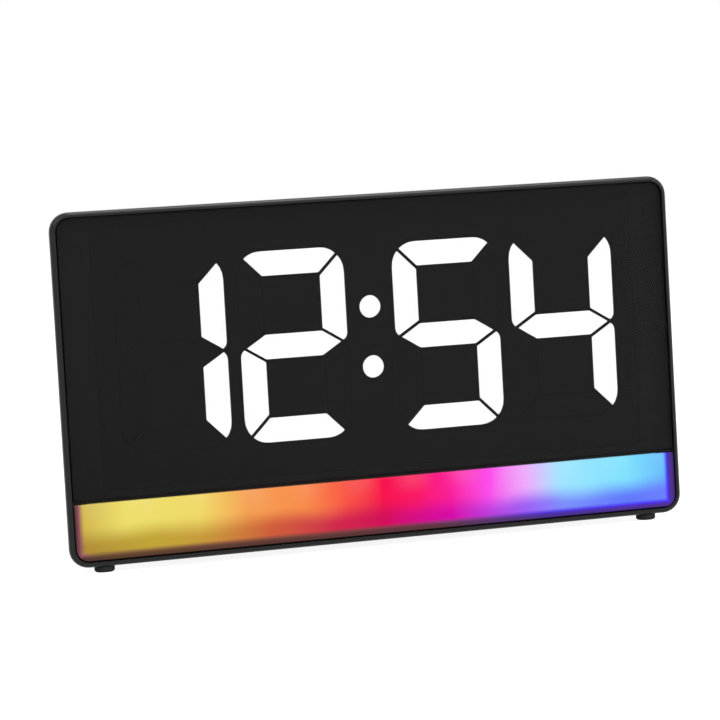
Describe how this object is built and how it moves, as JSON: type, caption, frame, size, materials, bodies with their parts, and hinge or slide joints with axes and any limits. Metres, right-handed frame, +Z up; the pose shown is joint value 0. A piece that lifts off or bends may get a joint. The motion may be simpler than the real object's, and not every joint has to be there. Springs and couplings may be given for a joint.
{
  "type": "mood light alarm clock",
  "caption": "Slim desk alarm clock with a large segment display over a full-width glowing light bar, and buttons on its back and top.",
  "frame": {"origin": "on the surface that the clock stands on, below the middle of its width and depth", "axes": "+X to the right as seen from the front, +Y from the front to the back, +Z up"},
  "size_m": [0.169, 0.0382, 0.0926],
  "materials": {
    "frame_plastic": "fine satin moulding",
    "case_plastic": "fine spark-eroded texture",
    "button_plastic": "smooth satin moulding",
    "smoked_acrylic": "polished smoked sheet",
    "opal_bar": "satin translucent moulding, lit from behind",
    "mask_film": "black printed film",
    "digit_opal": "milky translucent moulding",
    "reflector_white": "satin white moulding",
    "circuit_board": "solder mask over copper",
    "chip_black": "moulded epoxy",
    "led_package": "white package with a clear well",
    "bright_can": "bright plated steel",
    "plain_screw": "zinc plated",
    "black_screw": "blackened steel",
    "ribbon_grey": "flexible insulation",
    "foot_rubber": "soft moulded rubber"
  },
  "bodies": {
    "clock": {"front_frame": "frame_plastic", "display_lens": "smoked_acrylic", "light_bar": "opal_bar", "digit_mask": "mask_film", "digit_diffuser_1": "digit_opal", "digit_diffuser_2": "digit_opal", "digit_diffuser_3": "digit_opal", "digit_diffuser_4": "digit_opal", "colon_diffuser": "digit_opal", "segment_reflector": "reflector_white", "display_board": "circuit_board", "display_board_screw_1": "plain_screw", "display_board_screw_2": "plain_screw", "light_box": "reflector_white", "light_strip_board": "circuit_board", "mood_led_1": "led_package", "mood_led_2": "led_package", "mood_led_3": "led_package", "mood_led_4": "led_package", "mood_led_5": "led_package", "mood_led_6": "led_package", "main_board": "circuit_board", "main_board_screw_1": "plain_screw", "main_board_screw_2": "plain_screw", "main_board_screw_3": "plain_screw", "main_board_screw_4": "plain_screw", "processor": "chip_black", "capacitor": "bright_can", "quartz_crystal": "bright_can", "buzzer": "chip_black", "ribbon_cable": "ribbon_grey", "button_switch_1": "chip_black", "button_switch_2": "chip_black", "button_switch_3": "chip_black", "button_switch_4": "chip_black", "button_switch_5": "chip_black", "button_switch_6": "chip_black", "snooze_switch": "chip_black", "power_socket": "bright_can", "coin_cell_holder": "chip_black", "coin_cell": "bright_can", "rear_case": "case_plastic", "case_screw_1": "black_screw", "case_screw_2": "black_screw", "case_screw_3": "black_screw", "case_screw_4": "black_screw", "foot_1": "foot_rubber", "foot_2": "foot_rubber", "foot_3": "foot_rubber", "foot_4": "foot_rubber"},
    "snooze_bar": {"snooze_bar": "button_plastic"},
    "battery_door": {"battery_door": "case_plastic", "battery_door_screw": "black_screw"},
    "time_button": {"time_button": "button_plastic"},
    "alarm_button": {"alarm_button": "button_plastic"},
    "up_button": {"up_button": "button_plastic"},
    "down_button": {"down_button": "button_plastic"},
    "light_button": {"light_button": "button_plastic"},
    "dimmer_button": {"dimmer_button": "button_plastic"}
  },
  "joints": [
    {"name": "snooze_press", "type": "slide", "parent": "clock", "child": "snooze_bar", "axis": [0, 0, -1], "range_m": [0, 0.0008], "stiffness_N_per_m": 1500},
    {"name": "time_press", "type": "slide", "parent": "clock", "child": "time_button", "axis": [0, -1, 0], "range_m": [0, 0.0005], "stiffness_N_per_m": 3000},
    {"name": "alarm_press", "type": "slide", "parent": "clock", "child": "alarm_button", "axis": [0, -1, 0], "range_m": [0, 0.0005], "stiffness_N_per_m": 3000},
    {"name": "up_press", "type": "slide", "parent": "clock", "child": "up_button", "axis": [0, -1, 0], "range_m": [0, 0.0005], "stiffness_N_per_m": 3000},
    {"name": "down_press", "type": "slide", "parent": "clock", "child": "down_button", "axis": [0, -1, 0], "range_m": [0, 0.0005], "stiffness_N_per_m": 3000},
    {"name": "light_press", "type": "slide", "parent": "clock", "child": "light_button", "axis": [0, -1, 0], "range_m": [0, 0.0005], "stiffness_N_per_m": 3000},
    {"name": "dimmer_press", "type": "slide", "parent": "clock", "child": "dimmer_button", "axis": [0, -1, 0], "range_m": [0, 0.0005], "stiffness_N_per_m": 3000},
    {"name": "battery_door_slide", "type": "slide", "parent": "clock", "child": "battery_door", "axis": [0, 1, 0], "range_m": [0, 0.02]}
  ]
}
